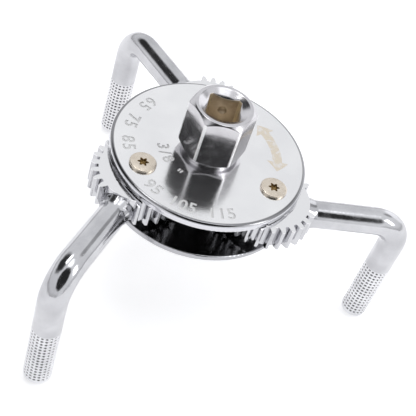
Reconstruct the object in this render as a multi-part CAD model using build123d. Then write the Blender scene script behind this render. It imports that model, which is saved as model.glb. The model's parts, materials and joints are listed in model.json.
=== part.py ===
from build123d import *
import math
import os

# Three-jaw oil filter wrench with a 3/8 inch square drive.
# A hexagonal drive head turns a pinion between two round plates. The pinion meshes with three
# toothed jaws, which swing on posts between the plates, so their bent legs close on a filter.
#
# Frame: millimetres and degrees. The origin is the centre of the square socket's mouth, on the
# drive axis. +Z points out of the mouth and the legs hang towards -Z.

os.makedirs("parts", exist_ok=True)

# ---------------------------------------------------------------- plates
plate_margin = 7.5            # from the pivot circle to the plates' edges
plate_thickness = 2.5
plate_gap_over_bar = 2.4      # the gap between the plates, less the bar's diameter
plate_outer_round = 1.2       # rounded edge on each plate's outer face
plate_inner_round = 0.3       # broken edge on each plate's inner face

# ---------------------------------------------------------------- gears
tooth_module = 1.0
pressure_angle = 20.0
pinion_teeth = 18
jaw_teeth = 27
backlash = 0.16               # at the pitch circle, shared by the two gears
tip_clearance = 0.05          # taken off each tip circle
gear_width = 7.5
flank_steps = 4               # straight facets along each tooth flank

# ---------------------------------------------------------------- jaws
jaw_count = 3
first_pivot_angle = 90.0      # direction of the first pivot from the drive axis
rest_swing = 36.0             # arm's turn from pointing straight out, at rest
bar_diameter = 8.6
arm_reach = 44.5              # pivot axis to leg axis
leg_length = 45.0             # arm axis to leg tip
bend_radius = 9.0             # of the bar's centre line
arm_lift = 0.15               # bar's underside above the hub's
tip_round = 1.2
teeth_left_out = 1            # teeth missing on each side of the one at the arm
hub_radius = 9.5
neck_flare = 0.9              # of the neck's radius over the bar's, at the toothed disc
neck_length = 3.25            # from the disc's root circle to where the neck is the bar's size
root_web_height = 4.6
root_web_fillet = 2.4
root_web_inset = 0.15         # of the web's sides inside the bar

# ---------------------------------------------------------------- pivots
post_radius = 4.0
running_clearance = 0.05      # radial, for every turning fit
axial_play = 0.05             # at each end of every turning part
shim_thickness = 0.3
shim_radius = 8.0

# ---------------------------------------------------------------- screws
screw_radius = 2.5
screw_hole_clearance = 0.1    # radial, in the plates
thread_clearance = 0.02       # radial, between the plain shank and the plain tapped hole
screw_grip = 5.0              # length of shank inside the post
top_head_radius = 4.0
top_head_height = 0.8
top_head_chamfer = 0.25
bottom_head_radius = 4.2
bottom_head_sink = 0.1        # below the plate's face
cross_width = 0.9
cross_length = 3.6
cross_depth = 0.7

# ---------------------------------------------------------------- drive socket
square_side = 9.6             # female 3/8 inch square
square_depth = 12.0
square_corner_flat = 0.8
square_turn = -7.0            # of the square against the hexagon
mouth_land = 0.9              # flat ring round the mouth
mouth_cone_angle = 30.0       # from the end face
drill_radius = 3.6
drill_cone_depth = 1.6
detent_ball_radius = 1.9
detent_ball_offset = 0.9      # of the ball's centre inside the wall
detent_depth = 6.0            # below the mouth
hex_across_flats = 18.0
hex_height = 16.5
hex_chamfer_angle = 40.0
hex_top_inset = 0.4           # of the top ring inside the flats
hex_bottom_inset = 0.2        # of the bottom ring inside the flats
collar_inset = 0.8            # of the collar inside the flats
collar_height = 1.5
upper_journal_radius = 7.0
tail_radius = 5.5
tail_across_flats = 9.0
lower_journal_radius = 4.5
lower_journal_inset = 0.3     # journal's end above the bottom plate's outer face
key_clearance = 0.02          # between the keyed tail and the pinion's bore
ring_groove_radius = 4.7
ring_outer_radius = 7.2
ring_thickness = 1.0
ring_opening = 50.0           # angle left open
ring_clearance = 0.02

# ---------------------------------------------------------------- levels along the drive axis
plate_gap = bar_diameter + plate_gap_over_bar
thrust_washer_radius = tooth_module * pinion_teeth / 2
top_face_z = -(hex_height + collar_height)
top_plate_under_z = top_face_z - plate_thickness
bottom_plate_top_z = top_plate_under_z - plate_gap
bottom_face_z = bottom_plate_top_z - plate_thickness
gear_top_z = top_plate_under_z - shim_thickness - axial_play
gear_bottom_z = gear_top_z - gear_width
jaw_bottom_z = bottom_plate_top_z + shim_thickness + axial_play
arm_z = jaw_bottom_z + arm_lift + bar_diameter / 2
tip_z = arm_z - leg_length
ring_top_z = gear_bottom_z - axial_play

pivot_circle_radius = tooth_module * (pinion_teeth + jaw_teeth) / 2
plate_radius = pivot_circle_radius + plate_margin
hex_top_ring_radius = hex_across_flats / 2 - hex_top_inset
hex_bottom_ring_radius = hex_across_flats / 2 - hex_bottom_inset
collar_radius = hex_across_flats / 2 - collar_inset
mouth_radius = hex_top_ring_radius - mouth_land
neck_radius = bar_diameter / 2 + neck_flare
neck_end = tooth_module * (jaw_teeth / 2 - 1.25) + neck_length
pivot_angles = [first_pivot_angle + 360.0 * i / jaw_count for i in range(jaw_count)]


def save(name, shape):
    """Write one piece to its own STEP file."""
    export_step(shape, f"parts/{name}.step")


def rod(radius, low, high):
    """A round solid on the Z axis between two levels."""
    return Pos(0, 0, (low + high) / 2) * Cylinder(radius, high - low)


def polar(radius, angle):
    """A point at a radius and an angle in degrees."""
    return Vector(radius * math.cos(math.radians(angle)), radius * math.sin(math.radians(angle)))


def pivot_place(index):
    """The location of a pivot axis, with no turn."""
    at = polar(pivot_circle_radius, pivot_angles[index])
    return Pos(at.X, at.Y, 0)


# ---------------------------------------------------------------- gear outlines
def involute(angle):
    """The involute of an angle in degrees, in radians."""
    a = math.radians(angle)
    return math.tan(a) - a


def half_tooth_angle(teeth, radius):
    """Half of a tooth's angle in degrees at a radius, for an involute flank."""
    pitch_radius = tooth_module * teeth / 2
    base_radius = pitch_radius * math.cos(math.radians(pressure_angle))
    at_pitch = math.pi / (2 * teeth) - backlash / 4 / pitch_radius
    local = math.degrees(math.acos(min(1.0, base_radius / radius)))
    return math.degrees(at_pitch + involute(pressure_angle) - involute(local))


def gear_radii(teeth):
    """Root, base, pitch and tip radii of a gear."""
    pitch = tooth_module * teeth / 2
    base = pitch * math.cos(math.radians(pressure_angle))
    return pitch - 1.25 * tooth_module, base, pitch, pitch + tooth_module - tip_clearance


def gear_outline(teeth, missing=()):
    """A gear's face, with tooth 0 on +X and some teeth left out."""
    root, base, pitch, tip = gear_radii(teeth)
    start = max(root, base)
    levels = [start + (tip - start) * i / flank_steps for i in range(flank_steps + 1)]
    flank = [(r, half_tooth_angle(teeth, r)) for r in levels]
    if root < base:
        flank.insert(0, (root, flank[0][1]))
    edges = []
    kept = [k for k in range(teeth) if k not in missing]
    for place, k in enumerate(kept):
        middle = 360.0 * k / teeth
        rising = [polar(r, middle - half) for r, half in flank]
        falling = [polar(r, middle + half) for r, half in reversed(flank)]
        edges += Polyline(*rising).edges()
        edges.append(ThreePointArc(rising[-1], polar(tip, middle), falling[0]))
        edges += Polyline(*falling).edges()
        following = kept[(place + 1) % len(kept)]
        gap_end = 360.0 * following / teeth - flank[0][1]
        gap_start = middle + flank[0][1]
        if gap_end < gap_start:
            gap_end += 360.0
        gap_middle = polar(root, (gap_start + gap_end) / 2)
        edges.append(ThreePointArc(falling[-1], gap_middle, polar(root, gap_end)))
    return make_face(Wire(edges))


# ---------------------------------------------------------------- plates
def plate(low, high, bore_radius):
    """A round plate with its drive bore and three screw holes."""
    body = rod(plate_radius, low, high) - rod(bore_radius, low - 1, high + 1)
    hole = rod(screw_radius + screw_hole_clearance, low - 1, high + 1)
    for index in range(jaw_count):
        body -= pivot_place(index) * hole
    return body


def rim_edge(body, level):
    """The outer edge of a plate at a level."""
    rims = [e for e in body.edges().filter_by(GeomType.CIRCLE) if abs(e.radius - plate_radius) < 1e-6]
    return [e for e in rims if abs(e.center().Z - level) < 1e-6]


def top_plate():
    body = plate(top_plate_under_z, top_face_z, upper_journal_radius + running_clearance)
    body = fillet(rim_edge(body, top_face_z), plate_outer_round)
    return fillet(rim_edge(body, top_plate_under_z), plate_inner_round)


def bottom_plate():
    body = plate(bottom_face_z, bottom_plate_top_z, lower_journal_radius + running_clearance)
    body = fillet(rim_edge(body, bottom_face_z), plate_outer_round)
    body = fillet(rim_edge(body, bottom_plate_top_z), plate_inner_round)
    seat_radius = bottom_head_radius + screw_hole_clearance
    seat_floor = seat_radius - (screw_radius + screw_hole_clearance)
    seat = Pos(0, 0, bottom_face_z + bottom_head_sink + seat_floor / 2)
    seat *= Cone(seat_radius, seat_radius - seat_floor, seat_floor)
    recess = rod(seat_radius, bottom_face_z - 1, bottom_face_z + bottom_head_sink)
    for index in range(jaw_count):
        body -= pivot_place(index) * (seat + recess)
    return body


# ---------------------------------------------------------------- drive
def hex_head():
    """The hexagon, turned to a cone at each end."""
    corner = hex_across_flats / 2 / math.cos(math.pi / 6)
    slope = math.tan(math.radians(hex_chamfer_angle))
    low = -hex_height
    outside = corner + 1.0
    profile = Polyline(
        (0, 0, low),
        (hex_bottom_ring_radius, 0, low),
        (outside, 0, low + (outside - hex_bottom_ring_radius) * slope),
        (outside, 0, -(outside - hex_top_ring_radius) * slope),
        (hex_top_ring_radius, 0, 0),
        (0, 0, 0),
        close=True,
    )
    turned = revolve(make_face(profile), Axis.Z)
    prism = Pos(0, 0, low) * extrude(RegularPolygon(corner, 6), hex_height)
    return prism & turned


def keyed_rod(radius, across_flats, low, high):
    """A round rod with two flats."""
    slab = Pos(0, 0, (low + high) / 2) * Box(across_flats, 4 * radius, high - low)
    return rod(radius, low, high) & slab


def drive_socket():
    body = hex_head() + rod(collar_radius, top_face_z + axial_play, -hex_height)
    body += rod(upper_journal_radius, gear_top_z, top_face_z + axial_play)
    body += keyed_rod(tail_radius, tail_across_flats, jaw_bottom_z, gear_top_z)
    body += rod(lower_journal_radius, bottom_face_z + lower_journal_inset, jaw_bottom_z)
    groove_low = ring_top_z - ring_thickness - 2 * ring_clearance
    body -= rod(tail_radius + 1, groove_low, ring_top_z) - rod(ring_groove_radius, groove_low, ring_top_z)

    pocket = Rectangle(square_side, square_side)
    pocket = chamfer(pocket.vertices(), square_corner_flat)
    socket = Pos(0, 0, -square_depth) * extrude(pocket, square_depth + 1, dir=(0, 0, 1))
    body -= Rot(0, 0, square_turn) * socket
    ball_x = square_side / 2 - detent_ball_offset
    ball = Pos(ball_x, 0, -detent_depth) * Rot(0, 0, 180) * Sphere(detent_ball_radius)
    for turn in range(4):
        body -= Rot(0, 0, square_turn + 90 * turn) * ball
    mouth_depth = mouth_radius * math.tan(math.radians(mouth_cone_angle))
    body -= Pos(0, 0, -mouth_depth / 2) * Cone(0, mouth_radius, mouth_depth)
    drill = Pos(0, 0, -square_depth - drill_cone_depth / 2) * Cone(0, drill_radius, drill_cone_depth)
    return body - drill


def drive_pinion():
    """The pinion, turned so that a tooth space of it faces each jaw's tooth."""
    blank = Pos(0, 0, gear_bottom_z) * extrude(gear_outline(pinion_teeth), gear_width)
    bore = keyed_rod(tail_radius + key_clearance, tail_across_flats + 2 * key_clearance,
                     gear_bottom_z - 1, gear_top_z + 1)
    # The jaw's teeth stand at whole pitches from its arm. Seen from the jaw, the drive axis lies at
    # 180 - rest_swing from the arm, so that angle sets how far the nearest jaw tooth is off the line.
    jaw_pitch = 360.0 / jaw_teeth
    off_line = (180.0 - rest_swing) % jaw_pitch
    pinion_turn = first_pivot_angle + off_line * jaw_teeth / pinion_teeth + 180.0 / pinion_teeth
    return Rot(0, 0, pinion_turn) * blank - bore


def washer(inner, outer, low, high):
    return rod(outer, low, high) - rod(inner, low - 1, high + 1)


def retaining_ring():
    low = ring_top_z - ring_thickness - ring_clearance
    ring = washer(ring_groove_radius + ring_clearance, ring_outer_radius, low, ring_top_z - ring_clearance)
    reach = ring_outer_radius * 2
    half = math.radians(ring_opening / 2)
    opening = Polygon(
        (0, 0),
        (reach * math.cos(half), -reach * math.sin(half)),
        (reach * math.cos(half), reach * math.sin(half)),
        align=None,
    )
    return ring - Pos(0, 0, low - 1) * extrude(opening, ring_thickness + 3)


# ---------------------------------------------------------------- jaws
def bent_bar():
    """The round bar from the pivot axis along +X, bent down into the leg."""
    radius = bar_diameter / 2
    bend_x = arm_reach - bend_radius
    arm = Pos(bend_x / 2, 0, arm_z) * (Rot(0, 90, 0) * Cylinder(radius, bend_x))
    section = Plane(origin=(bend_x, 0, arm_z), z_dir=(1, 0, 0)) * Circle(radius)
    bend_axis = Axis((bend_x, 0, arm_z - bend_radius), (0, 1, 0))
    bend = revolve(section, bend_axis, 90)
    leg = Pos(arm_reach, 0, 0) * rod(radius, tip_z, arm_z - bend_radius)
    leg_end = leg.edges().filter_by(GeomType.CIRCLE).sort_by(Axis.Z)[0]
    leg = fillet(leg_end, tip_round)
    return arm + bend + leg


def root_web():
    """A flat web that fills the corners between the toothed disc and the bar."""
    root = gear_radii(jaw_teeth)[0]
    half_bar = math.sqrt((bar_diameter / 2) ** 2 - (root_web_height / 2) ** 2) - root_web_inset
    plan = Circle(root) + Pos(neck_end / 2, 0) * Rectangle(neck_end, 2 * half_bar)
    corner_x = math.sqrt(root**2 - half_bar**2)
    corners = [v for v in plan.vertices() if abs(v.X - corner_x) < 0.01 and abs(abs(v.Y) - half_bar) < 0.01]
    plan = fillet(corners, root_web_fillet)
    web = extrude(plan, root_web_height, dir=(0, 0, 1))
    return Pos(0, 0, arm_z - root_web_height / 2) * web


def neck():
    """A short cone that leads the hub into the bar, kept above the hub's underside."""
    root = gear_radii(jaw_teeth)[0]
    lying = Rot(0, 90, 0)
    cone = Pos(root + neck_length / 2, 0, arm_z) * lying * Cone(neck_radius, bar_diameter / 2, neck_length)
    inner = Pos(root / 2, 0, arm_z) * lying * Cylinder(neck_radius, root)
    slab_height = gear_top_z - jaw_bottom_z
    slab = Pos(0, 0, jaw_bottom_z + slab_height / 2) * Box(4 * neck_end, 4 * neck_radius, slab_height)
    return (cone + inner) & slab


def jaw():
    """One jaw on its own pivot axis, with its arm along +X."""
    missing = [k % jaw_teeth for k in range(-teeth_left_out, teeth_left_out + 1)]
    body = Pos(0, 0, gear_bottom_z) * extrude(gear_outline(jaw_teeth, missing), gear_width)
    body += rod(hub_radius, jaw_bottom_z, gear_bottom_z)
    body += root_web() + neck()
    body += bent_bar()
    return body - rod(post_radius + running_clearance, jaw_bottom_z - 1, gear_top_z + 1)


def jaw_place(index):
    """Where a jaw stands at rest."""
    return pivot_place(index) * Rot(0, 0, pivot_angles[index] + rest_swing)


# ---------------------------------------------------------------- pivots and screws
def pivot_post():
    return washer(screw_radius + thread_clearance, post_radius, bottom_plate_top_z, top_plate_under_z)


def cross_recess(level, downwards):
    """A cross-shaped pocket in a screw head's face at a level."""
    depth = -cross_depth if downwards else cross_depth
    slot = Pos(0, 0, level + depth / 2) * Box(cross_length, cross_width, cross_depth)
    return slot + Rot(0, 0, 90) * slot


def top_screw():
    head_top = top_face_z + top_head_height
    head = rod(top_head_radius, top_face_z, head_top)
    head = chamfer(head.edges().filter_by(GeomType.CIRCLE).sort_by(Axis.Z)[-1], top_head_chamfer)
    shank = rod(screw_radius, top_plate_under_z - screw_grip, top_face_z)
    return head + shank - cross_recess(head_top, True)


def bottom_screw():
    head_bottom = bottom_face_z + bottom_head_sink
    height = bottom_head_radius - screw_radius
    head = Pos(0, 0, head_bottom + height / 2) * Cone(bottom_head_radius, screw_radius, height)
    shank = rod(screw_radius, head_bottom + height, bottom_plate_top_z + screw_grip)
    return head + shank - cross_recess(head_bottom, False)


# ---------------------------------------------------------------- the pieces
save("top_plate", top_plate())
save("bottom_plate", bottom_plate())
save("drive_socket", drive_socket())
save("drive_pinion", drive_pinion())
save("retaining_ring", retaining_ring())
save("upper_thrust_washer", washer(upper_journal_radius + running_clearance, thrust_washer_radius,
                                   top_plate_under_z - shim_thickness, top_plate_under_z))
save("lower_thrust_washer", washer(lower_journal_radius + running_clearance, thrust_washer_radius,
                                   bottom_plate_top_z, bottom_plate_top_z + shim_thickness))

one_jaw = jaw()
post = pivot_post()
upper_shim = washer(post_radius + running_clearance, shim_radius,
                    top_plate_under_z - shim_thickness, top_plate_under_z)
lower_shim = washer(post_radius + running_clearance, shim_radius,
                    bottom_plate_top_z, bottom_plate_top_z + shim_thickness)
upper_fixing = top_screw()
lower_fixing = bottom_screw()
for i in range(jaw_count):
    save(f"jaw_{i + 1}", jaw_place(i) * one_jaw)
    save(f"pivot_post_{i + 1}", pivot_place(i) * post)
    save(f"upper_shim_{i + 1}", pivot_place(i) * upper_shim)
    save(f"lower_shim_{i + 1}", pivot_place(i) * lower_shim)
    save(f"top_screw_{i + 1}", pivot_place(i) * upper_fixing)
    save(f"bottom_screw_{i + 1}", pivot_place(i) * lower_fixing)
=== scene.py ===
# %% [markdown]
# # An oil filter wrench with three geared jaws
# The tool grips a round oil filter. A square drive turns a hexagon head, the head turns a small gear
# between two round plates, and the small gear swings three jaws inwards together.
# This lesson loads the finished CAD model as a fixed frame, then builds what the eye sees around it.
# Everything is in metres, and the origin is the middle of the square socket's mouth.

import json
import math

import bmesh
import bpy
import numpy as np
from mathutils import Matrix, Vector


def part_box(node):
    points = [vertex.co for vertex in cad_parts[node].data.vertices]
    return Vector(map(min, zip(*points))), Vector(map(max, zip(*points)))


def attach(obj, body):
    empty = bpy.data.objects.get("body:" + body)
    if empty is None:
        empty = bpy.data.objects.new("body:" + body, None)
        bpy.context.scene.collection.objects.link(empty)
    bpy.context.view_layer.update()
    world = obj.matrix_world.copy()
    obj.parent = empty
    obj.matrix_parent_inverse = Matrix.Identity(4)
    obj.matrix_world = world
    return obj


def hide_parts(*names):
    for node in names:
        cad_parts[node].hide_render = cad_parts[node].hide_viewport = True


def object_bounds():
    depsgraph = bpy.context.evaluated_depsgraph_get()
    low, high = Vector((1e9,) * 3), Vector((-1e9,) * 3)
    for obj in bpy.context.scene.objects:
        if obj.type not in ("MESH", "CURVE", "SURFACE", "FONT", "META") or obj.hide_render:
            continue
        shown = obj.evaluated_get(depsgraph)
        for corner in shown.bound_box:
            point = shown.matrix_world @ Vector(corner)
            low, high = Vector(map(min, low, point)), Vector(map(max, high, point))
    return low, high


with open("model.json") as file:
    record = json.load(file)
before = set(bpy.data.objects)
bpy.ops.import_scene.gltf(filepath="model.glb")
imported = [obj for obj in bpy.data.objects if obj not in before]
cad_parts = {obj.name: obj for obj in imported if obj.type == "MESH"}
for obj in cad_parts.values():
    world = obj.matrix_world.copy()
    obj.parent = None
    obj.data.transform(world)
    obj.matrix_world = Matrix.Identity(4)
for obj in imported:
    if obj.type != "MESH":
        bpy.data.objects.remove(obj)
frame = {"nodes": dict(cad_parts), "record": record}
cad_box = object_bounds()
nodes = frame["nodes"]
scene = bpy.context.scene
MM = 0.001

# %% [markdown]
# ## The camera
# The camera looks down on the tool from the front, a little to the left, and is rolled, so the tool lies
# at a slant in the view. A track-to constraint could aim it, but it can't roll. Here the camera's
# three axes are worked out from its azimuth, elevation and roll, and they become its matrix.

# %% The camera
camera_azimuth = math.radians(-13.05)
camera_elevation = math.radians(45.71)
camera_roll = math.radians(20.19)
camera_distance = 294.17 * MM
camera_aim = Vector((3.89, -7.56, -35.0)) * MM
camera_lens = 83.37


def camera_matrix(azimuth, elevation, roll, distance, aim):
    """The camera's place and turn, looking at a point from a direction."""
    back = Vector((
        math.sin(azimuth) * math.cos(elevation),
        -math.cos(azimuth) * math.cos(elevation),
        math.sin(elevation),
    ))
    level = Vector((math.cos(azimuth), math.sin(azimuth), 0))
    up = back.cross(level)
    side = level * math.cos(roll) + up * math.sin(roll)
    top = up * math.cos(roll) - level * math.sin(roll)
    turn = Matrix((side, top, back)).transposed().to_4x4()
    return Matrix.Translation(aim + back * distance) @ turn


camera = bpy.data.objects.new("camera", bpy.data.cameras.new("camera"))
scene.collection.objects.link(camera)
camera.matrix_world = camera_matrix(
    camera_azimuth, camera_elevation, camera_roll, camera_distance, camera_aim
)
camera.data.sensor_width = 36
camera.data.lens = camera_lens
camera.data.clip_start = 0.01
camera.data.clip_end = 20
scene.camera = camera
print("camera stands at", [round(x, 3) for x in camera.matrix_world.translation])

# %% [markdown]
# ## Nodes by name
# Materials and the sky are small machines of nodes. Making each node takes three or four lines, so two
# short helpers make a node with its settings and join it up. They keep each finish readable.

# %% Helpers for nodes
def add(tree, kind, **settings):
    """A new node. A setting named like an input sets that input, and others set the node itself."""
    made = tree.nodes.new(kind)
    for name, value in settings.items():
        socket = made.inputs.get(name.replace("_", " "))
        if socket is None:
            setattr(made, name, value)
        else:
            socket.default_value = value
    return made


def wire(tree, source, output, target, entry):
    """Joins one node's output to another's input."""
    tree.links.new(source.outputs[output], target.inputs[entry])


print("node helpers ready")

# %% [markdown]
# A mask, such as the edge of a patch of sky or of a printed arrow, is worked out with small sums. One
# helper makes a Math node, and another maps a range of numbers to a new range with soft ends.

# %% Helpers for sums
def sums(tree, operation, first, second=None, third=None):
    """A Math node on numbers or on outputs of other nodes."""
    made = add(tree, "ShaderNodeMath", operation=operation)
    for place, value in enumerate((first, second, third)):
        if value is None:
            continue
        if isinstance(value, (int, float)):
            made.inputs[place].default_value = value
        else:
            tree.links.new(value, made.inputs[place])
    return made.outputs[0]


def rescale(tree, value, low, high, to_low, to_high):
    """Maps one range of numbers to another with soft ends."""
    made = add(tree, "ShaderNodeMapRange", interpolation_type="SMOOTHSTEP")
    tree.links.new(value, made.inputs["Value"])
    made.inputs["From Min"].default_value = low
    made.inputs["From Max"].default_value = high
    made.inputs["To Min"].default_value = to_low
    made.inputs["To Max"].default_value = to_high
    return made.outputs[0]


print("sum helpers ready")

# %% [markdown]
# ## The studio's walls
# Chrome has hardly any colour of its own: it shows the room. So a studio puts white cards round it, with
# dark gaps between them. Cards could be planes round the tool, but a sky made of nodes needs no extra
# objects and makes less noise. Each card or gap is a patch of sky near a direction.

# %% A patch of sky
world = bpy.data.worlds.new("studio")
scene.world = world
world.use_nodes = True
sky = world.node_tree
sky.nodes.clear()
direction = add(sky, "ShaderNodeTexCoord").outputs["Generated"]


def patch(towards, narrow, wide):
    """1 within an angle of a direction, falling to 0 at a wider angle."""
    centre = Vector(towards).normalized()
    dot = add(sky, "ShaderNodeVectorMath", operation="DOT_PRODUCT")
    sky.links.new(direction, dot.inputs[0])
    dot.inputs[1].default_value = centre
    inner = math.cos(math.radians(narrow))
    outer = math.cos(math.radians(wide))
    return rescale(sky, dot.outputs["Value"], outer, inner, 0, 1)


def lay_over(below, value, mask):
    """Puts a brightness over another where the mask is 1."""
    change = sums(sky, "SUBTRACT", value, below)
    return sums(sky, "MULTIPLY_ADD", change, mask, below)


print("an empty sky")

# %% [markdown]
# The sky gets brighter from the horizon up. Cards behind, low at the right, overhead and low in front
# make the metal bright, and gaps at the left, at the right and in front draw the dark lines along the
# bars and down the head. What the camera sees directly is one even white, so the backdrop stays plain.

# %% The sky
horizon_brightness = 0.66
open_brightness = 0.98
backdrop_brightness = 1.03
height = add(sky, "ShaderNodeSeparateXYZ")
sky.links.new(direction, height.inputs[0])
brightness = rescale(sky, height.outputs["Z"], 0.02, 0.25, horizon_brightness, open_brightness)
# Each patch has a name, a direction, its inner and outer angles in degrees, and its brightness.
sky_patches = [
    ("back card", (0.12, 0.74, 0.66), 17, 29, 0.94),
    ("low right card", (0.72, 0.68, 0.20), 14, 26, 1.45),
    ("overhead card", (0.16, -0.08, 0.98), 10, 16, 2.20),
    ("left gap", (-0.60, 0.25, 0.75), 17, 32, 0.04),
    ("right gap", (0.62, 0.43, 0.66), 6, 13, 0.45),
    ("front gap", (0.05, -0.68, 0.73), 27, 34, 0.03),
    ("low front card", (0.35, -0.90, 0.10), 8, 16, 1.0),
]
for patch_name, towards, narrow, wide, value in sky_patches:
    brightness = lay_over(brightness, value, patch(towards, narrow, wide))
    print("sky patch:", patch_name, value)
seen_directly = add(sky, "ShaderNodeLightPath").outputs["Is Camera Ray"]
brightness = lay_over(brightness, backdrop_brightness, seen_directly)
glow = add(sky, "ShaderNodeBackground", Color=(0.97, 0.98, 1.0, 1.0))
sky.links.new(brightness, glow.inputs["Strength"])
wire(sky, glow, "Background", add(sky, "ShaderNodeOutputWorld"), "Surface")
scene.view_settings.view_transform = "Standard"

# %% [markdown]
# ## The floor
# The tool stands on the tips of its legs on a pale floor. A very wide plane would do, but where it ends a
# line would show in low views. A disc with a faint glow of its own stays pale and keeps shadows soft.

# %% The floor
floor_gap = 0.02 * MM
floor_level = cad_box[0].z - floor_gap
floor_radius = 4.0
floor_mesh = bpy.data.meshes.new("floor")
floor_shape = bmesh.new()
bmesh.ops.create_circle(floor_shape, cap_ends=True, radius=floor_radius, segments=96)
floor_shape.to_mesh(floor_mesh)
floor_shape.free()
floor = bpy.data.objects.new("floor", floor_mesh)
floor.location.z = floor_level
scene.collection.objects.link(floor)
print("floor at", round(floor_level, 4))

# %% [markdown]
# The floor is matt paper. A fine noise moves its tone by a few hundredths, and the glow lifts it to the
# brightness of the backdrop, so no line shows where the two meet.

# %% The floor's paper
paper_glow = 0.47
paper = bpy.data.materials.new("pale_paper")
paper.use_nodes = True
tree = paper.node_tree
paper_shader = tree.nodes["Principled BSDF"]
paper_shader.inputs["Roughness"].default_value = 0.9
paper_shader.inputs["Specular IOR Level"].default_value = 0.1
paper_shader.inputs["Emission Color"].default_value = (1, 1, 1, 1)
paper_shader.inputs["Emission Strength"].default_value = paper_glow
fibres = add(tree, "ShaderNodeTexNoise", Scale=60.0, Detail=3.0)
paper_tone = add(tree, "ShaderNodeValToRGB")
paper_tone.color_ramp.elements[0].color = (0.84, 0.84, 0.85, 1)
paper_tone.color_ramp.elements[1].color = (0.87, 0.87, 0.88, 1)
wire(tree, add(tree, "ShaderNodeTexCoord"), "Object", fibres, "Vector")
wire(tree, fibres, "Fac", paper_tone, "Fac")
wire(tree, paper_tone, "Color", paper_shader, "Base Color")
floor.data.materials.append(paper)
print("paper with a glow of", paper_glow)

# %% [markdown]
# ## The lamps
# Two soft lamps add bright streaks to the bars: a long one high above the tool, and a smaller one at the
# right. Neither stands where the flat plate would mirror it. Points or suns would make dots and hard
# shadows, so both are area lamps.

# %% The lamps
def softbox(name, place, aim, width, depth, power):
    """An area lamp that looks at a point."""
    lamp = bpy.data.lights.new(name, "AREA")
    lamp.shape = "RECTANGLE"
    lamp.size = width
    lamp.size_y = depth
    lamp.energy = power
    holder = bpy.data.objects.new(name, lamp)
    holder.location = place
    holder.rotation_euler = (Vector(aim) - Vector(place)).to_track_quat("-Z", "Y").to_euler()
    scene.collection.objects.link(holder)
    return holder


middle = (cad_box[0] + cad_box[1]) / 2
softbox("top_softbox", (-0.30, 0.30, 1.20), middle, 0.6, 0.25, 2.0)
softbox("right_softbox", (0.85, -0.35, 0.55), middle, 0.25, 0.5, 1.5)
print("two softboxes")

# %% [markdown]
# ## What the finishes share
# Every metal here starts as the same empty material, fully metallic. Its changes come from noise that
# reads the object's own coordinates, so nothing has to be unwrapped, and the noise's size is in metres.

# %% Helpers for finishes
def new_finish(name):
    """An empty metal material and its main shader."""
    made = bpy.data.materials.new(name)
    made.use_nodes = True
    shader = made.node_tree.nodes["Principled BSDF"]
    shader.inputs["Metallic"].default_value = 1.0
    return made, made.node_tree, shader


def noise(tree, size, detail=3.0, stretch=(1, 1, 1)):
    """Noise with features of about a size in metres, stretched along the axes."""
    place = add(tree, "ShaderNodeMapping")
    place.inputs["Scale"].default_value = stretch
    wire(tree, add(tree, "ShaderNodeTexCoord"), "Object", place, "Vector")
    made = add(tree, "ShaderNodeTexNoise", Scale=1.0 / size, Detail=detail)
    wire(tree, place, "Vector", made, "Vector")
    return made.outputs["Fac"]


def two_tone(tree, shader, value, low, high, dark, light):
    """The base colour runs between two colours with a value."""
    ramp = add(tree, "ShaderNodeValToRGB")
    ramp.color_ramp.elements[0].position = low
    ramp.color_ramp.elements[1].position = high
    ramp.color_ramp.elements[0].color = (*dark, 1)
    ramp.color_ramp.elements[1].color = (*light, 1)
    tree.links.new(value, ramp.inputs["Fac"])
    tree.links.new(ramp.outputs["Color"], shader.inputs["Base Color"])


def bumped(tree, shader, value, depth, before=None):
    """A bump of a depth in metres, on top of another bump."""
    made = add(tree, "ShaderNodeBump", Strength=1.0, Distance=depth)
    tree.links.new(value, made.inputs["Height"])
    if before is not None:
        tree.links.new(before, made.inputs["Normal"])
    tree.links.new(made.outputs["Normal"], shader.inputs["Normal"])
    return made.outputs["Normal"]


print("finish helpers ready")

# %% [markdown]
# Painted highlights, painted shade and print lie over a finish in some places only. Each is a coat: a value
# laid over whatever drives an input, as far as a mask says. A Mix node has a socket for numbers, for vectors
# and for colours under each name, so its colour sockets are chosen by their places.

# %% A helper for coats
mix_factor = 0
mix_below = 6
mix_over = 7
mix_result = 2


def coat(tree, shader, entry, mask, value):
    """Lays a value over what drives an input, where the mask is 1."""
    mix = add(tree, "ShaderNodeMix", data_type="RGBA")
    tree.links.new(mask, mix.inputs[mix_factor])
    tree.links.new(shader.inputs[entry].links[0].from_socket, mix.inputs[mix_below])
    mix.inputs[mix_over].default_value = value
    tree.links.new(mix.outputs[mix_result], shader.inputs[entry])


print("coat helper ready")

# %% [markdown]
# ## Polished chrome
# Chrome plate on a forged steel bar keeps a little of the steel's unevenness. The finish has a pale grey,
# cloudy changes in gloss, a faint orange-peel bump, and small specks where the plating is thin. A flat
# metallic colour would look like plastic, so each of these is a noise of its own.

# %% Polished chrome
cloud_size = 9 * MM
haze_size = 3 * MM
speck_size = 0.35 * MM
wave_size = 2.2 * MM
ripple_size = 0.5 * MM
ripple_share = 0.35


def chrome(name, dark, light, gloss, peel):
    """Plated metal: two tones, a range of roughness, and the depth of its orange peel."""
    made, tree, shader = new_finish(name)
    clouds = noise(tree, cloud_size)
    two_tone(tree, shader, clouds, 0.35, 0.65, dark, light)
    haze = rescale(tree, noise(tree, haze_size, 5.0), 0.35, 0.7, gloss[0], gloss[1])
    specks = rescale(tree, noise(tree, speck_size, 2.0), 0.68, 0.78, 0.0, 0.25)
    tree.links.new(sums(tree, "ADD", haze, specks), shader.inputs["Roughness"])
    waves = bumped(tree, shader, noise(tree, wave_size, 2.0), peel)
    bumped(tree, shader, noise(tree, ripple_size, 2.0), peel * ripple_share, waves)
    return made


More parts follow.
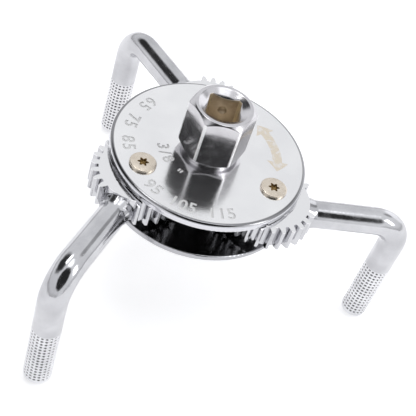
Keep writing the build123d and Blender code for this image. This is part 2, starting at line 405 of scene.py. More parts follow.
jaw_chrome = chrome("jaw_chrome", (0.50, 0.50, 0.52), (0.62, 0.62, 0.64), (0.09, 0.18), 0.026 * MM)
head_chrome = chrome("head_chrome", (0.56, 0.55, 0.57), (0.64, 0.63, 0.65), (0.16, 0.23), 0.004 * MM)
print("chrome for the jaws and for the head")

# %% [markdown]
# The flat tops of the jaws' toothed discs are painted paler than the forged bars, as painted light on the
# faces that look up. They are the highest part of a jaw, and the mask is 1 where a point is that high.

# %% Painted light on the discs' tops
lit_start = 0.4 * MM
lit_full = 0.1 * MM
tree = jaw_chrome.node_tree
shader = tree.nodes["Principled BSDF"]
place = add(tree, "ShaderNodeSeparateXYZ")
wire(tree, add(tree, "ShaderNodeTexCoord"), "Object", place, 0)
disc_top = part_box("jaw_1")[1].z
lit = rescale(
    tree, place.outputs["Z"], disc_top - lit_start, disc_top - lit_full, 0.0, 1.0
)
# The pale colour laid on the discs' tops is painted light.
coat(tree, shader, "Base Color", lit, (0.82, 0.82, 0.83, 1))
print("discs are machined at", round(disc_top / MM, 2), "mm")

# %% [markdown]
# The head's corners are painted pale, as a painted highlight along each corner, and made satin. The corners
# are the points furthest from the tool's axis, so the mask is 1 beyond a radius just inside them.

# %% Painted highlights on the corners
highlit_start = 10.08 * MM
highlit_full = 10.16 * MM
tree = head_chrome.node_tree
shader = tree.nodes["Principled BSDF"]
from_axis = add(tree, "ShaderNodeVectorMath", operation="LENGTH")
level_only = add(tree, "ShaderNodeVectorMath", operation="MULTIPLY")
level_only.inputs[1].default_value = (1, 1, 0)
wire(tree, add(tree, "ShaderNodeTexCoord"), "Object", level_only, 0)
wire(tree, level_only, 0, from_axis, 0)
highlit = rescale(tree, from_axis.outputs["Value"], highlit_start, highlit_full, 0.0, 1.0)
# The pale colour on the corners is a painted highlight.
coat(tree, shader, "Base Color", highlit, (0.95, 0.95, 0.96, 1))
coat(tree, shader, "Roughness", highlit, (0.50, 0.50, 0.50, 1))
print("corners are rubbed beyond", round(highlit_start / MM, 2), "mm")

# %% [markdown]
# ## Chrome with painted shade in the knurl
# The knurl's pits are painted darker and matt, as painted shade in their bottoms. The pits' depth is stored
# on the grip's points, and the finish reads it by name.

# %% Knurled chrome
knurl_chrome = chrome("knurl_chrome", (0.66, 0.66, 0.68), (0.80, 0.80, 0.82), (0.10, 0.20), 0.008 * MM)
tree = knurl_chrome.node_tree
shader = tree.nodes["Principled BSDF"]
hollow_shade_start = 0.25
hollow_shade_full = 0.95
pit_value = add(tree, "ShaderNodeAttribute", attribute_name="pit").outputs["Fac"]
hollow_shade = rescale(tree, pit_value, hollow_shade_start, hollow_shade_full, 0.0, 1.0)
# The near-black colour in the pits is painted shade.
coat(tree, shader, "Base Color", hollow_shade, (0.03, 0.025, 0.03, 1))
coat(tree, shader, "Roughness", hollow_shade, (0.6, 0.6, 0.6, 1))
print("knurled chrome")

# %% [markdown]
# ## Satin chrome on the plates
# The plates are stamped from sheet that was brushed before plating, so their gloss is softer along one
# direction. Noise stretched into long streaks drives the roughness and a very shallow bump.

# %% Satin chrome
plate_chrome, tree, shader = new_finish("plate_chrome")
two_tone(tree, shader, noise(tree, 14 * MM), 0.35, 0.65, (0.82, 0.82, 0.83), (0.88, 0.88, 0.885))
streaks = noise(tree, 0.25 * MM, 4.0, (0.03, 1, 1))
grain = rescale(tree, streaks, 0.3, 0.7, 0.12, 0.19)
tree.links.new(grain, shader.inputs["Roughness"])
brushed = bumped(tree, shader, streaks, 0.0015 * MM)
bumped(tree, shader, noise(tree, 1.2 * MM, 3.0), 0.006 * MM, brushed)
print("satin chrome")

# %% [markdown]
# ## What lies over the satin chrome
# Painted shade, a painted dark reflection and print on the plates depend only on where a point is: how far it
# is from the tool's axis, how high, and on what bearing. These are worked out once, from the object's own
# coordinates.

# %% Where a point is
spot = add(tree, "ShaderNodeSeparateXYZ")
wire(tree, add(tree, "ShaderNodeTexCoord"), "Object", spot, "Vector")
east, north, rise = (spot.outputs[axis] for axis in "XYZ")
north_square = sums(tree, "MULTIPLY", north, north)
from_axis = sums(tree, "SQRT", sums(tree, "MULTIPLY_ADD", east, east, north_square))
bearing = sums(tree, "ARCTAN2", north, east)
print("radius, height and bearing on the plates")

# %% [markdown]
# A dark line is painted just inside the top plate's rolled edge, as a painted dark reflection. Outside that
# line the bare rim is painted a little darker than the face, as painted shade. Both are bands of radius,
# measured inwards from the rim.

# %% The rolled edge and the rim
rim_shade_inner_start = 1.3 * MM
rim_shade_inner_full = 1.0 * MM
rim_shade_outer_full = 0.35 * MM
rim_shade_outer_end = 0.15 * MM
edge_start = 0.4 * MM
edge_full = 0.6 * MM
rim_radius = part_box("top_plate")[1].x
inner_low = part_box("bottom_plate")[1].z
inner_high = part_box("top_plate")[0].z
rolled_in = rescale(
    tree, from_axis, rim_radius - rim_shade_inner_start, rim_radius - rim_shade_inner_full, 0.0, 1.0
)
rolled_out = rescale(
    tree, from_axis, rim_radius - rim_shade_outer_full, rim_radius - rim_shade_outer_end, 1.0, 0.0
)
above_inner = rescale(tree, rise, inner_high + edge_start, inner_high + edge_full, 0.0, 1.0)
rolled = sums(tree, "MULTIPLY", sums(tree, "MULTIPLY", rolled_in, rolled_out), above_inner)
# The dark line along the rolled edge is a painted reflection, and the darker rim is painted shade.
coat(tree, shader, "Base Color", rolled, (0.26, 0.26, 0.27, 1))
coat(tree, shader, "Base Color", sums(tree, "SUBTRACT", 1.0, rolled_out), (0.66, 0.66, 0.69, 1))
print("a line of dirt inside a rim of", round(rim_radius / MM, 2), "mm")

# %% [markdown]
# The lower plate is painted duller than the top one, as painted shade under the tool, and the two faces that
# look at each other across the gears are painted darker still, as painted shade. Both are masks of height.

# %% Painted shade between the plates
blend_near = 0.02 * MM
blend_far = 0.10 * MM
below_top = rescale(tree, rise, inner_high + blend_near, inner_high + blend_far, 1.0, 0.0)
above_low = rescale(tree, rise, inner_low - blend_far, inner_low - blend_near, 0.0, 1.0)
# The lower plate's darker colour is painted shade.
coat(tree, shader, "Base Color", below_top, (0.44, 0.44, 0.46, 1))
between_shade = sums(tree, "MULTIPLY", below_top, above_low)
# The faces between the plates get darker painted shade.
coat(tree, shader, "Base Color", between_shade, (0.34, 0.34, 0.345, 1))
print("grease from", round(inner_low / MM, 2), "to", round(inner_high / MM, 2), "mm")

# %% [markdown]
# A worn two-way arrow is printed on the top plate, because the tool works both ways. It could be thin
# geometry laid on the face, but ink has no thickness to see. An arrow bent round a circle is simple in
# radius and angle: a shaft of even width, and at each end a head that narrows to its tip.

# %% The arrow's outline
arrow_radius = 21.0 * MM
arrow_middle = math.radians(18)
arrow_half = math.radians(28)
arrow_head = math.radians(11)
arrow_line = 1.5 * MM
arrow_wing = 3.4 * MM
off_line = sums(tree, "ABSOLUTE", sums(tree, "SUBTRACT", from_axis, arrow_radius))
off_middle = sums(tree, "ABSOLUTE", sums(tree, "SUBTRACT", bearing, arrow_middle))
to_tip = sums(tree, "DIVIDE", sums(tree, "SUBTRACT", arrow_half, off_middle), arrow_head)
shaft = sums(tree, "MULTIPLY", sums(tree, "GREATER_THAN", to_tip, 1.0), arrow_line)
in_head = sums(tree, "LESS_THAN", to_tip, 1.0)
wings = sums(tree, "MULTIPLY", in_head, sums(tree, "MULTIPLY", to_tip, arrow_wing))
inside_arrow = sums(tree, "SUBTRACT", sums(tree, "ADD", shaft, wings), off_line)
print("an arrow of", round(math.degrees(2 * arrow_half)), "degrees")

# %% [markdown]
# The ink is thin and matt, and noise wears it away in patches. It lies only on the upper face.

# %% The arrow's ink
printed = rescale(tree, inside_arrow, -0.08 * MM, 0.12 * MM, 0.0, 1.0)
worn = rescale(tree, noise(tree, 1.6 * MM, 4.0), 0.36, 0.52, 0.35, 0.90)
face_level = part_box("top_plate")[1].z
on_face = rescale(tree, rise, face_level - blend_far, face_level - blend_near, 0.0, 1.0)
ink = sums(tree, "MULTIPLY", sums(tree, "MULTIPLY", printed, worn), on_face)
coat(tree, shader, "Base Color", ink, (0.74, 0.66, 0.54, 1))
coat(tree, shader, "Roughness", ink, (0.30, 0.30, 0.30, 1))
print("the arrow is printed")

# %% [markdown]
# ## The socket's bronze, the screws' zinc and the steel inside
# Inside the square the plating is thin, so it is brown and matt, and the flats that cut its corners are
# painted pale gold as painted highlights. The screws have a pale yellow zinc plate, with dark brown painted
# into their recess as painted shade, and the grooves of the figures on the plate are painted dark as painted
# shade. The parts between the plates are plain steel with a film of grease.

# %% The other metals
def patchy_metal(name, dark, light, rough, patch_size, depth):
    """Metal with patches and a fine tooth: unplated or thinly plated metal, and the finishes that paint shade
    and highlights.
    """
    made, tree, shader = new_finish(name)
    two_tone(tree, shader, noise(tree, patch_size, 5.0), 0.3, 0.7, dark, light)
    grey = rescale(tree, noise(tree, patch_size * 0.4, 4.0), 0.3, 0.7, rough[0], rough[1])
    tree.links.new(grey, shader.inputs["Roughness"])
    bumped(tree, shader, noise(tree, 0.3 * MM, 3.0), depth)
    return made


socket_bronze = patchy_metal(
    "socket_bronze", (0.66, 0.58, 0.47), (0.82, 0.74, 0.63), (0.30, 0.45), 2.5 * MM, 0.01 * MM
)
screw_zinc = patchy_metal(
    "screw_zinc", (0.62, 0.55, 0.46), (0.74, 0.67, 0.58), (0.22, 0.40), 1.5 * MM, 0.008 * MM
)
# The pale gold for the socket's corner flats is a painted highlight.
corner_glint_gold = patchy_metal(
    "corner_glint_gold", (0.88, 0.76, 0.55), (0.98, 0.90, 0.72), (0.40, 0.55), 1.5 * MM, 0.006 * MM
)
# The near-black colour for the figures' grooves is painted shade.
stamp_shade = patchy_metal(
    "stamp_shade", (0.07, 0.07, 0.075), (0.20, 0.20, 0.21), (0.30, 0.50), 1.0 * MM, 0.006 * MM
)
# The dark brown for the screws' recesses is painted shade.
recess_shade_brown = patchy_metal(
    "recess_shade_brown", (0.06, 0.035, 0.012), (0.42, 0.28, 0.11), (0.3, 0.6), 0.5 * MM, 0.03 * MM
)
gear_steel = patchy_metal(
    "gear_steel", (0.42, 0.42, 0.44), (0.58, 0.58, 0.60), (0.20, 0.38), 3 * MM, 0.01 * MM
)
plain_steel = patchy_metal(
    "plain_steel", (0.52, 0.52, 0.54), (0.66, 0.66, 0.68), (0.22, 0.36), 4 * MM, 0.008 * MM
)
# The gold here is a painted highlight, and the grime is painted shade.
print("bronze, gold, zinc, grime and steels")

# %% [markdown]
# ## A piece and what it rides on
# Each new object is linked to the scene, rides on one of the moving bodies of the CAD, and gets its finishes.
# One helper does all of this, so nothing is forgotten.

# %% A helper for pieces
def piece(name, mesh, body, slot, *finishes):
    """An object for a mesh, on its body, with its finishes."""
    made = bpy.data.objects.new(name, mesh)
    scene.collection.objects.link(made)
    for finish in finishes:
        mesh.materials.append(finish)
    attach(made, body)
    return made


print("piece helper ready")

# %% [markdown]
# ## Rings make turned parts
# Most parts here were turned on a lathe or pressed round: their section changes slowly round the axis.
# Such a part can be a stack of rings of points. Each ring may have its own radius and level at every
# angle, so the same helper makes a screw, a hexagon with a turned chamfer, and a knurled grip.

# %% Rings to mesh
ring_edge_angle = math.radians(35)


def ring_mesh(name, rings, count, marks=None, centre=(0, 0)):
    """A closed mesh from rings of radius and level, from pole to pole, with a finish for each band."""
    angles = np.arange(count) * 2 * math.pi / count
    levels = [np.broadcast_to(np.asarray(z, float), count) for r, z in rings]
    radii = [np.broadcast_to(np.asarray(r, float), count) for r, z in rings]
    points = [
        np.stack((r * np.cos(angles) + centre[0], r * np.sin(angles) + centre[1], z), axis=1)
        for r, z in zip(radii, levels)
    ]
    start = [(*centre, float(levels[0].mean()))]
    end = [(*centre, float(levels[-1].mean()))]
    verts = np.concatenate([start, *points, end])
    step = np.arange(count)
    following = (step + 1) % count
    faces = [(0, 1 + b, 1 + a) for a, b in zip(step, following)]
    finish_of = [0] * count
    for band in range(len(rings) - 1):
        low = 1 + band * count
        high = low + count
        faces += [(low + a, low + b, high + b, high + a) for a, b in zip(step, following)]
        finish_of += [marks[band] if marks else 0] * count
    last = 1 + (len(rings) - 1) * count
    faces += [(last + a, last + b, len(verts) - 1) for a, b in zip(step, following)]
    finish_of += [marks[-1] if marks else 0] * count
    mesh = bpy.data.meshes.new(name)
    mesh.from_pydata(verts.tolist(), [], [tuple(int(i) for i in f) for f in faces])
    mesh.polygons.foreach_set("material_index", finish_of)
    mesh.shade_smooth()
    mesh.set_sharp_from_angle(angle=ring_edge_angle)
    return mesh


print("ring helper ready")

# %% [markdown]
# ## Copies of the CAD's shapes
# The mesh of a CAD part is never changed. A part that needs a cut or an engraving is copied first. Its
# mesh has doubled points along the edges of its faces, and a clean cut needs them joined.

# %% A clean copy
copy_edge_angle = math.radians(28)
copy_join_distance = 0.0005 * MM


def tidy_copy(node, name):
    """A copy of a node's mesh with its doubled points joined."""
    mesh = nodes[node].data.copy()
    mesh.name = name
    mesh.materials.clear()
    shape = bmesh.new()
    shape.from_mesh(mesh)
    bmesh.ops.remove_doubles(shape, verts=shape.verts, dist=copy_join_distance)
    shape.to_mesh(mesh)
    shape.free()
    mesh.shade_smooth()
    mesh.set_sharp_from_angle(angle=copy_edge_angle)
    return mesh


print("copy helper ready")

# %% [markdown]
# A cut leaves long thin faces, and smooth shading over them draws dark streaks on polished metal. The
# Weighted Normal modifier lets the large faces decide how a point is shaded. A corner that lies on a
# level face, or still leans far from its own face, is then set to that face's direction.

# %% Settled normals
area_weight = 80
level_face = 0.9999
most_lean = math.cos(math.radians(40))


def settle_normals(made):
    """Each point takes the normal of its largest faces, and level faces are shaded dead flat."""
    step = made.modifiers.new("weighted", "WEIGHTED_NORMAL")
    step.mode = "FACE_AREA"
    step.weight = area_weight
    step.keep_sharp = True
    bpy.context.view_layer.update()
    settled = bpy.data.meshes.new_from_object(made.evaluated_get(bpy.context.evaluated_depsgraph_get()))
    made.modifiers.clear()
    made.data = settled
    corners = np.array([corner.vector for corner in settled.corner_normals])
    for face in settled.polygons:
        level = abs(face.normal.z) > level_face
        for corner in face.loop_indices:
            if level or face.normal.dot(Vector(corners[corner])) < most_lean:
                corners[corner] = face.normal
    settled.normals_split_custom_set(corners.tolist())


print("normals helper ready")

# %% [markdown]
# ## The hexagon head
# The head is an 18 mm hexagon whose ends were turned to a cone, which leaves a curved bright edge above
# each flat. A boolean of a prism and a cone gives knife edges. Here each ring follows the true line where
# the cone meets the flat, and the corners are rounded, so both edges catch the light as plating does.

# %% Sizes of the head
head_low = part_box("drive_socket")[0]
face_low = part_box("top_plate")[1].z
across_flats = 18.0 * MM
corner_round = 0.9 * MM
top_ring = across_flats / 2 - 0.4 * MM
bottom_ring = across_flats / 2 - 0.2 * MM
cone_slope = math.tan(math.radians(40))
hex_bottom = -16.5 * MM
mouth_ring = top_ring - 0.9 * MM
mouth_slope = math.tan(math.radians(30))
head_count = 480
head_angles = np.arange(head_count) * 2 * math.pi / head_count


def rounded_polygon(angles, sides, half_width, rounding, turn):
    """The radius at each angle of a regular polygon with round corners. A flat faces the turn angle."""
    half = math.pi / sides
    off = np.abs((angles - turn + half) % (2 * half) - half)
    flat = half_width / np.cos(off)
    corner = (half_width - rounding) / math.cos(half)
    across = np.clip(rounding**2 - (corner * np.sin(half - off)) ** 2, 0, None)
    bend = corner * np.cos(half - off) + np.sqrt(across)
    return np.where(half_width * np.tan(off) <= (half_width - rounding) * math.tan(half), flat, bend)


hexagon = rounded_polygon(head_angles, 6, across_flats / 2, corner_round, math.radians(30))
print("hexagon from", round(hexagon.min() / MM, 2), "to", round(hexagon.max() / MM, 2), "mm")

# %% [markdown]
# The square inside is turned a few degrees against the hexagon. Its corners are cut by small flats. The
# same polygon helper draws the square and the flats, and the smaller of the two radii is taken.

# %% The square and its corner flats
square_half = 4.8 * MM
square_turn = math.radians(-7)
square_round = 0.05 * MM
corner_flat = (2 * square_half - 0.8 * MM) / math.sqrt(2)
wall = rounded_polygon(head_angles, 4, square_half, square_round, square_turn)
cut = rounded_polygon(head_angles, 4, corner_flat, square_round, square_turn + math.pi / 4)
square = np.minimum(wall, cut)
corner_share = math.atan2(math.sqrt(2) * square_half - corner_flat, corner_flat)
print("square from", round(square.min() / MM, 2), "to", round(square.max() / MM, 2), "mm")

# %% [markdown]
# Each wall has the round dimple that a ratchet's ball clicks into. The dimple is where a sphere reaches
# further out than the wall, so here the larger of the two radii is taken. The rings are close together
# where the dimple is, and far apart elsewhere.

# %% The walls and their dimples
pocket_floor = -12.0 * MM
dimple_level = -6.0 * MM
dimple_ball = 1.9 * MM
dimple_centre = square_half - 1.3 * MM


def with_dimple(radius, level):
    """The wall's radius at a level, pushed out where the ball reaches past it."""
    off = np.abs((head_angles - square_turn + math.pi / 4) % (math.pi / 2) - math.pi / 4)
    slice_square = dimple_ball**2 - (level - dimple_level) ** 2
    reach = slice_square - (dimple_centre * np.sin(off)) ** 2
    ball = dimple_centre * np.cos(off) + np.sqrt(np.clip(reach, 0, None))
    return np.where(reach > 0, np.maximum(radius, ball), radius)


wall_levels = np.concatenate((
    np.linspace(-2.2, -4.1, 4), np.linspace(-4.2, -7.8, 31), np.linspace(-7.9, -11.9, 4),
)) * MM
print("square walls with", len(wall_levels), "levels")

# %% [markdown]
# Now the rings run from the bottom of the drill hole up the inside, over the mouth, down the outside and
# under the tail. Two small steps soften the edge between the walls and the cone of the mouth.

# %% The rings inside and the mouth
drill_inner = 3.5 * MM
drill_radius = 3.6 * MM
drill_start = -12.05 * MM
soft = 0.10 * MM
inside = [(drill_inner, drill_start), (drill_radius, pocket_floor), (square, pocket_floor)]
inside += [(with_dimple(square, z), z) for z in wall_levels[::-1]]
mouth_level = -(mouth_ring - square) * mouth_slope
inside += [(square, mouth_level - 0.06 * MM), (square + 0.05 * MM, mouth_level + 0.02 * MM)]
inside_bands = len(inside)
mouth = [(square + (mouth_ring - square) * t, mouth_level * (1 - t)) for t in (0.3, 0.6, 0.85)]
mouth += [
    (mouth_ring - soft, -soft * 0.5),
    (mouth_ring + soft * 0.3, -soft * 0.1),
    (mouth_ring + soft, 0.0),
]
print("inside and mouth:", len(inside) + len(mouth), "rings")

# %% [markdown]
# Outside, a cone falls from the ring at the top until it meets the flats. At a corner the hexagon is
# wider, so the cone has fallen further there: that makes the curved crease above each flat. The same
# holds at the foot, and each crease gets one ring just above it and one just below, to round it.

# %% The rings outside
def cone_level(radius, ring, slope):
    """How far a cone has fallen from its ring to a radius."""
    return (radius - ring) * slope


cone_inset = 0.08 * MM
flat_inset = 0.02 * MM
crown = [
    (top_ring - soft, 0.0),
    (top_ring - soft * 0.2, -soft * 0.15),
    (top_ring + soft * 0.6, -soft * 0.75),
]
top_crease = -cone_level(hexagon, top_ring, cone_slope)
crown += [(top_ring + (hexagon - top_ring) * t, top_crease * t) for t in (0.3, 0.55, 0.75)]
crown += [
    (hexagon - cone_inset, top_crease + 0.06 * MM),
    (hexagon - flat_inset, top_crease - 0.04 * MM),
]
low_crease = hex_bottom + cone_level(hexagon, bottom_ring, cone_slope)
flats = [
    (hexagon, top_crease * (1 - t) + low_crease * t - soft * (1 - t)) for t in (0.0, 0.35, 0.65, 0.97)
]
collar_radius = 8.2 * MM
fit_gap = 0.05 * MM
foot = [
    (hexagon - flat_inset, low_crease + 0.04 * MM),
    (hexagon - cone_inset, low_crease - 0.06 * MM),
    (bottom_ring, hex_bottom),
    (collar_radius, hex_bottom),
    (collar_radius, face_low + fit_gap),
]
print("outside:", len(crown) + len(flats) + len(foot), "rings")

# %% [markdown]
# The tail goes through the top plate as a round neck. Below that it has two flats that carry the small
# gear, a groove for the clip, and a round spigot that turns in the bottom plate.

# %% The rings of the tail
neck_radius = 7.0 * MM
tail_radius = 5.5 * MM
tail_half = 4.5 * MM
groove_radius = 4.7 * MM
groove_width = 1.04 * MM
spigot_radius = 4.5 * MM
spigot_end = 4.3 * MM
spigot_chamfer = 0.2 * MM
tail_flat = tail_half / np.maximum(np.abs(np.cos(head_angles)), 1e-6)
keyed = np.minimum(tail_radius, tail_flat)
gear_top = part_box("drive_pinion")[1].z
gear_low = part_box("drive_pinion")[0].z
tail = [(neck_radius, face_low + fit_gap), (neck_radius, gear_top), (keyed, gear_top)]
groove_top = gear_low - fit_gap
groove_low = groove_top - groove_width
groove = np.minimum(keyed, groove_radius)
tail += [(keyed, groove_top), (groove, groove_top), (groove, groove_low), (keyed, groove_low)]
jaw_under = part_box("lower_shim_1")[1].z + fit_gap
tail += [(keyed, jaw_under), (spigot_radius, jaw_under)]
tail += [(spigot_radius, head_low.z + spigot_chamfer), (spigot_end, head_low.z)]
print("tail:", len(tail), "rings")

# %% [markdown]
# Bands inside the square get the bronze, the small flats in its corners get the pale gold of a painted
# highlight, and the rest gets the chrome. The point in the middle of the first ring is pulled down to make
# the drill's cone.

# %% The head
bronze_mark = 1
glint_mark = 2
drill_cone = 1.6 * MM
rings = inside + mouth + crown + flats + foot + tail
bands = [bronze_mark if k < inside_bands - 1 else 0 for k in range(len(rings))]
head_mesh = ring_mesh("drive_socket_shell", rings, head_count, bands)
head_mesh.vertices[0].co.z = pocket_floor - drill_cone
for face in head_mesh.polygons[:head_count]:
    face.material_index = bronze_mark
# The small corner flats take the pale gold of a painted highlight.
for face in head_mesh.polygons:
    if face.material_index == bronze_mark and abs(face.normal.z) < 0.5:
        turn = math.atan2(face.center.y, face.center.x) - square_turn
        if abs(turn % (math.pi / 2) - math.pi / 4) < corner_share:
            face.material_index = glint_mark
head = piece("drive_socket_shell", head_mesh, "drive", "head_chrome", head_chrome, socket_bronze, corner_glint_gold)
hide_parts("drive_socket")
print("head:", len(head_mesh.vertices), "points,", len(rings), "rings")

# %% [markdown]
# ## The top plate and its stamped numbers
# The plate is the CAD shape with figures struck into it, which tell what filters it fits and what drive it
# takes. A bump map would fade in a low view. The built-in font is made a little bolder, laid along a
# circle, turned to a solid and cut out of the plate with a boolean, so the grooves have real walls.

# %% Stamp cutters
plate_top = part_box("top_plate")[1].z
stamp_depth = 0.25 * MM
stamp_boldness = 0.022


def stamp(text, size, spot, turn):
    """A solid letter or figure that stands through the plate's face."""
    curve = bpy.data.curves.new("stamp", "FONT")
    curve.body = text
    curve.size = size
    curve.offset = stamp_boldness * size
    curve.extrude = stamp_depth
    curve.align_x = "CENTER"
    curve.align_y = "BOTTOM_BASELINE"
    curve.resolution_u = 3
    holder = bpy.data.objects.new("stamp", curve)
    holder.matrix_world = Matrix.Translation((*spot, plate_top)) @ Matrix.Rotation(turn, 4, "Z")
    scene.collection.objects.link(holder)
    bpy.context.view_layer.update()
    solid = bpy.data.meshes.new_from_object(holder)
    solid.transform(holder.matrix_world)
    bpy.data.objects.remove(holder)
    return solid


def stamps_round(words, radius, first, last, size):
    """Words laid along a circle, their tops to the middle, from one angle to another in degrees."""
    made = []
    for place, word in enumerate(words):
        angle = math.radians(first + (last - first) * place / max(1, len(words) - 1))
        spot = (radius * math.cos(angle), radius * math.sin(angle))
        made.append(stamp(word, size, spot, angle + math.pi / 2))
    return made


# Each line of figures has its radius, its first and last angle in degrees, and its size.
cutters = stamps_round(list("65 75 85"), 26.4 * MM, 140, 193, 5.4 * MM)
cutters += stamps_round(list("95 105 115"), 27.0 * MM, 228, 286, 5.4 * MM)
cutters += stamps_round(list("3/8"), 15.9 * MM, 190, 211, 5.0 * MM)
cutters += stamps_round(list("\""), 17.0 * MM, 233, 233, 5.0 * MM)
print(len(cutters), "stamps")

# %% [markdown]
# A boolean needs closed shapes that agree on inside and outside, so the points that each stamp shares are
# joined first. All stamps go into one cutter, because one cut is quicker than many.

# %% One cutter from all stamps
stamp_join_distance = 0.001 * MM


def join_meshes(name, parts):
    """One mesh from several."""
    shape = bmesh.new()
    for part in parts:
        shape.from_mesh(part)
    bmesh.ops.remove_doubles(shape, verts=shape.verts, dist=stamp_join_distance)
    bmesh.ops.recalc_face_normals(shape, faces=shape.faces)
    mesh = bpy.data.meshes.new(name)
    shape.to_mesh(mesh)
    shape.free()
    return mesh


cutter = bpy.data.objects.new("stamp_cutter", join_meshes("stamp_cutter", cutters))
scene.collection.objects.link(cutter)
print("cutter:", len(cutter.data.polygons), "faces")

# %% [markdown]
# The manifold solver is the quickest for closed shapes. The cut is applied at once, so the plate is plain
# mesh again before its normals are settled.

# %% Cut the stamps into the plate
plate_mesh = tidy_copy("top_plate", "top_plate_stamped")
plate = piece("top_plate_stamped", plate_mesh, "frame", "plate_chrome", plate_chrome)
cut_step = plate.modifiers.new("stamps", "BOOLEAN")
cut_step.object = cutter
cut_step.operation = "DIFFERENCE"
cut_step.solver = "MANIFOLD"
bpy.context.view_layer.update()
stamped = bpy.data.meshes.new_from_object(plate.evaluated_get(bpy.context.evaluated_depsgraph_get()))
plate.modifiers.clear()
plate.data = stamped
stamped.shade_smooth()
stamped.set_sharp_from_angle(angle=copy_edge_angle)
settle_normals(plate)
bpy.data.objects.remove(cutter)
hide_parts("top_plate")
print("plate:", len(stamped.polygons), "faces")

# %% [markdown]
# The grooves are painted dark, as painted shade, and that makes the figures dark. The faces of the grooves
# are the sunk ones that are clear of the hole in the middle, of the rim and of the screws.

# %% Painted shade in the figures
groove_shade_mark = 1
hole_clear = 10 * MM
rim_clear = 28.5 * MM
screw_clear = 4.1 * MM
# The grooves' dark finish is painted shade.
plate.data.materials.append(stamp_shade)
screw_spots = [sum(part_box(f"top_screw_{number}"), Vector()).xy / 2 for number in (1, 2, 3)]
for face in plate.data.polygons:
    sunk = plate_top - face.center.z
    reach = face.center.xy.length
    clear = min((face.center.xy - spot).length for spot in screw_spots)
    in_groove = 0.01 * MM < sunk < 1.05 * stamp_depth
    if in_groove and hole_clear < reach < rim_clear and clear > screw_clear:
        face.material_index = groove_shade_mark
print("grime on", sum(face.material_index for face in plate.data.polygons), "faces")

# %% [markdown]
# ## The jaws and their knurled grips
# Each jaw is a forged bar with gear teeth on its head. The CAD shape is right down to the grip, so its
# mesh is copied and cut where the knurl starts. The knurl was rolled in: ridges round the bar and along
# it, with a pit between each four. Bump alone would leave a smooth outline, so the pits are real points.

# %% Measures of the legs
grip_length = 25.0 * MM
tip_level = cad_box[0].z
grip_level = tip_level + grip_length
bar_radius = 4.29 * MM
tip_round = 2.1 * MM
pits_round = 20
pit_rise = 1.4 * MM
pit_depth = 0.40 * MM
grain_per_pit = 8


def leg_centre(node):
    """The middle of a jaw's leg, from the CAD points below the grip's top."""
    co = np.array([v.co for v in nodes[node].data.vertices])
    low = co[co[:, 2] < grip_level]
    return (low[:, :2].max(axis=0) + low[:, :2].min(axis=0)) / 2


for number in (1, 2, 3):
    print("leg", number, "stands at", leg_centre(f"jaw_{number}").round(4))

# %% [markdown]
# The pit is deepest where a wave round the bar and a wave along it both peak, and it is zero on the
# ridges between the pits. Near the tip the bar is rounded, and the pits get shallow there.

# %% One knurled grip
pit_side = 0.30
pit_end = 0.40
pit_slope = 0.35
tip_fade = 0.8 * MM


def knurled_rings(count):
    """The rings of one grip, from its top to its tip."""
    turn = np.arange(count) / count * pits_round
    rings = []
    step = pit_rise / grain_per_pit
    levels = np.arange(grip_level, tip_level + tip_round, -step)
    for level in levels:
        rise = (grip_level - level) / pit_rise
        across = 1 - 2 * np.abs(turn % 1 - 0.5)
        along = 1 - 2 * abs(rise % 1 - 0.5)
        pit = np.clip((across - pit_side) / pit_slope, 0, 1) * np.clip((along - pit_end) / pit_slope, 0, 1)
        pit = pit * pit * (3 - 2 * pit)
        fade = min(1.0, rise * 1.5, 0.3 + (level - tip_level - tip_round) / tip_fade)
        rings.append((bar_radius - pit_depth * pit * fade, level))
    for share in np.linspace(0, 1, 7):
        bend = share * math.pi / 2
        rings.append((
            bar_radius - tip_round * (1 - math.cos(bend)),
            tip_level + tip_round * (1 - math.sin(bend)),
        ))
    return rings


grip_count = pits_round * grain_per_pit
grip_rings = knurled_rings(grip_count)
print("grip:", len(grip_rings), "rings of", grip_count, "points")

# %% [markdown]
# A copy of the jaw is bisected at the grip's top and closed there. A bisect is quick and exact for one
# level cut, where a boolean with a box would be slower.

# %% A jaw without its grip
def cut_jaw(node, name):
    """A copy of a jaw without its grip, closed where it was cut."""
    mesh = tidy_copy(node, name)
    shape = bmesh.new()
    shape.from_mesh(mesh)
    geometry = shape.verts[:] + shape.edges[:] + shape.faces[:]
    cut = bmesh.ops.bisect_plane(
        shape, geom=geometry, plane_co=(0, 0, grip_level), plane_no=(0, 0, 1), clear_inner=True
    )
    rim = [e for e in cut["geom_cut"] if isinstance(e, bmesh.types.BMEdge)]
    bmesh.ops.holes_fill(shape, edges=rim, sides=0)
    bmesh.ops.recalc_face_normals(shape, faces=shape.faces)
    shape.to_mesh(mesh)
    shape.free()
    mesh.set_sharp_from_angle(angle=copy_edge_angle)
    return mesh


print("jaw helper ready")

# %% [markdown]
# Each jaw becomes two pieces that ride on the same body: the forging and the grip. How deep each point of
# the grip lies is kept with the point under the name that the knurl's finish reads.

# %% The three jaws
for number in (1, 2, 3):
    node = f"jaw_{number}"
    jaw = piece(f"{node}_forging", cut_jaw(node, f"{node}_forging"), node, "jaw_chrome", jaw_chrome)
    settle_normals(jaw)
    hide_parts(node)
    centre = leg_centre(node)
    grip_mesh = ring_mesh(f"{node}_grip", grip_rings[::-1], grip_count, None, tuple(centre))
    co = np.array([v.co for v in grip_mesh.vertices])
    sunk = bar_radius - np.hypot(co[:, 0] - centre[0], co[:, 1] - centre[1])
    sunk[co[:, 2] < tip_level + tip_round] = 0
    depth_mark = grip_mesh.attributes.new("pit", "FLOAT", "POINT")
    depth_mark.data.foreach_set("value", np.clip(sunk / pit_depth, 0, 1).astype(np.float32))
    piece(f"{node}_grip", grip_mesh, node, "jaw_chrome", knurl_chrome)
print("three jaws with grips")

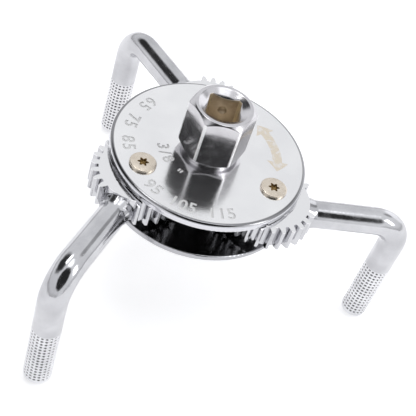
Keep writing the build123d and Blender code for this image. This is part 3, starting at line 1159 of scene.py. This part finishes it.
# %% [markdown]
# ## The top screws
# Three screws hold the plates to their posts. Their heads are flat and low with a broken edge, and the
# driver's star recess is painted dark brown as shade. Rings make the head, and the recess is a ring with
# lobes.

# %% The top screws
screw_count = 144
screw_angles = np.arange(screw_count) * 2 * math.pi / screw_count
lobe_count = 6
recess_radius = 1.30
lobe_height = 0.34
lobes = (recess_radius + lobe_height * np.cos(lobe_count * screw_angles)) * MM
recess_depth = 0.65 * MM
head_radius = 4.0 * MM
shank_radius = 2.5 * MM
shank_end = 2.2 * MM


def screw_rings(top, low):
    """A screw from the bottom of its recess to the end of its shank."""
    floor_of_recess = top - recess_depth
    recess = [(lobes * 0.5, floor_of_recess - 0.05 * MM), (lobes * 0.86, floor_of_recess)]
    recess += [(lobes, top - 0.06 * MM), (lobes + 0.08 * MM, top)]
    rim = [(3.62 * MM, top), (3.84 * MM, top - 0.07 * MM), (3.97 * MM, top - 0.22 * MM)]
    rim += [(head_radius, top - 0.4 * MM), (head_radius, plate_top)]
    shank = [(shank_radius, plate_top), (shank_radius, low + 0.3 * MM), (shank_end, low)]
    return recess + rim + shank


print("star recess from", round(lobes.min() / MM, 2), "to", round(lobes.max() / MM, 2), "mm")

# %% [markdown]
# The faces in the recess get the dark brown of painted shade, and the others the zinc.

# %% The three screws
recess_mark = 1
for number in (1, 2, 3):
    node = f"top_screw_{number}"
    low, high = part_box(node)
    centre = ((low.x + high.x) / 2, (low.y + high.y) / 2)
    rings = screw_rings(high.z, low.z)
    bands = [recess_mark] * 3 + [0] * (len(rings) - 3)
    mesh = ring_mesh(f"{node}_star", rings, screw_count, bands, centre)
    # The recess faces take the dark brown of painted shade.
    for face in mesh.polygons[:screw_count]:
        face.material_index = recess_mark
    screw = piece(f"{node}_star", mesh, "frame", "screw_zinc", screw_zinc, recess_shade_brown)
    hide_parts(node)
print("three screws with star recesses")

# %% [markdown]
# ## The rest of the CAD parts
# The bottom plate and its screws, the posts, washers and shims, the pinion and the clip already have
# their real shape. They keep their CAD mesh and get the finish of their slot.

# %% Finishes for the CAD parts
finish_for = {
    "plate_chrome": plate_chrome,
    "head_chrome": head_chrome,
    "jaw_chrome": jaw_chrome,
    "screw_zinc": screw_zinc,
    "gear_steel": gear_steel,
    "plain_steel": plain_steel,
}
slot_of = {part["node"]: part["material_slot"] for part in frame["record"]["subparts"]}
for name, part in nodes.items():
    part.data.materials.clear()
    part.data.materials.append(finish_for[slot_of[name]])
print("finishes on", len(nodes), "CAD parts")

# %% [markdown]
# ## Sizes
# The box of the CAD is printed.

# %% Sizes
print("CAD box", [round(x, 5) for x in cad_box[0]], [round(x, 5) for x in cad_box[1]])
